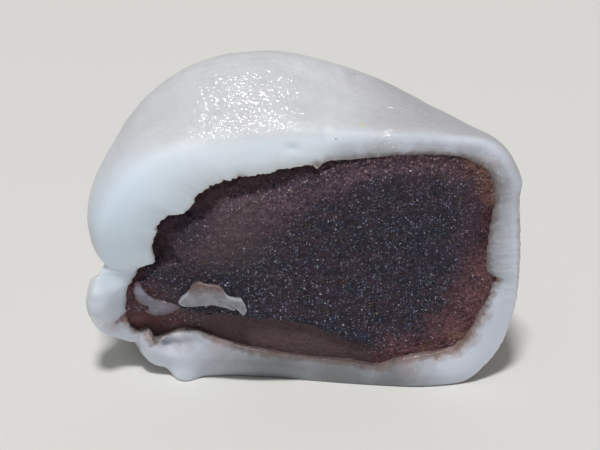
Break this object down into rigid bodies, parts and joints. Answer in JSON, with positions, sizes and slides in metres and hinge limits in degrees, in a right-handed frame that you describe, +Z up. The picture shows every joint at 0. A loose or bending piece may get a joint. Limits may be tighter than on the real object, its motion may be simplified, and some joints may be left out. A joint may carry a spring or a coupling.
{
  "type": "mochi rice cake half",
  "caption": "Half of a round sweet rice cake, cut to show a soft white skin round a smooth dark bean paste filling, resting on its flat underside.",
  "frame": {"origin": "on the surface that the cake rests on, below the middle of its bounding box", "axes": "+X along the cut face to its right, +Y from the cut face towards the round back, +Z up"},
  "size_m": [0.0524, 0.0292, 0.0394],
  "materials": {
    "rice_skin": "soft, moist and slightly translucent white rice dough",
    "bean_paste": "dense dark red bean paste, finely granular with a damp sparkle",
    "skin_scrap": "thin translucent rice dough stained by the paste"
  },
  "bodies": {
    "root": {"rice_skin": "rice_skin", "bean_paste": "bean_paste", "torn_flap": "skin_scrap", "inner_fold": "skin_scrap"}
  },
  "joints": []
}
